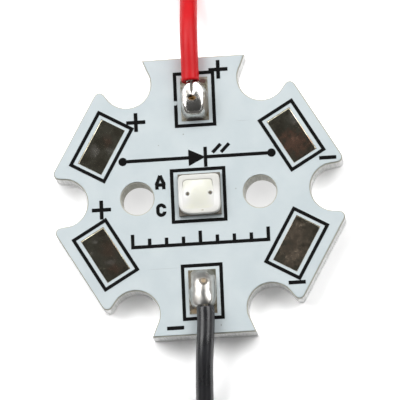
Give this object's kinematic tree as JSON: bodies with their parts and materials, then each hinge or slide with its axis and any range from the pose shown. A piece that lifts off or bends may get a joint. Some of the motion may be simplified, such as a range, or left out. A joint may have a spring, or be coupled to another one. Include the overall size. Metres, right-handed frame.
{
  "type": "star pcb power led",
  "caption": "Star-shaped metal-core LED board with a square power LED, printed polarity marks, open solder pads and a soldered red and black lead.",
  "frame": {"origin": "centre of the board's bottom face", "axes": "+Z out of the lit face, +Y along the red lead, +X to the right of it seen from above"},
  "size_m": [0.0269, 0.0684, 0.0032],
  "materials": {
    "aluminium": "sheared and punched aluminium plate",
    "insulator": "olive-grey filled resin layer",
    "copper": "etched copper foil",
    "mask": "white solder mask with a soft gloss",
    "tin": "levelled solder finish, smudged",
    "ink": "black printed ink",
    "solder": "bright solder with traces of flux",
    "gold": "gold plating",
    "ceramic": "fired ceramic",
    "reflector": "white moulded reflector",
    "die": "polished semiconductor",
    "phosphor": "pale phosphor layer",
    "silicone": "clear silicone",
    "strands": "tinned copper strands",
    "red_insulation": "soft red insulation",
    "black_insulation": "soft black insulation",
    "tie": "white plastic tie"
  },
  "bodies": {
    "root": {"base_plate": "aluminium", "insulating_layer": "insulator", "anode_copper": "copper", "cathode_copper": "copper", "heat_copper": "copper", "solder_mask": "mask", "wire_pad_tin": "tin", "side_pad_tin": "tin", "pad_print": "ink", "led_print": "ink", "symbol_print": "ink", "led_solder": "solder", "led_contacts": "gold", "led_carrier": "ceramic", "led_body": "reflector", "led_bond_pads": "gold", "led_die": "die", "led_phosphor": "phosphor", "bond_wire_left": "gold", "bond_wire_right": "gold", "led_fill": "silicone", "red_core": "strands", "red_joint": "solder", "black_core": "strands", "black_joint": "solder", "red_lead": "red_insulation", "red_coil": "red_insulation", "red_tie": "tie", "red_tip": "strands", "black_lead": "black_insulation", "black_coil": "black_insulation", "black_tie": "tie", "black_tip": "strands"}
  },
  "joints": []
}
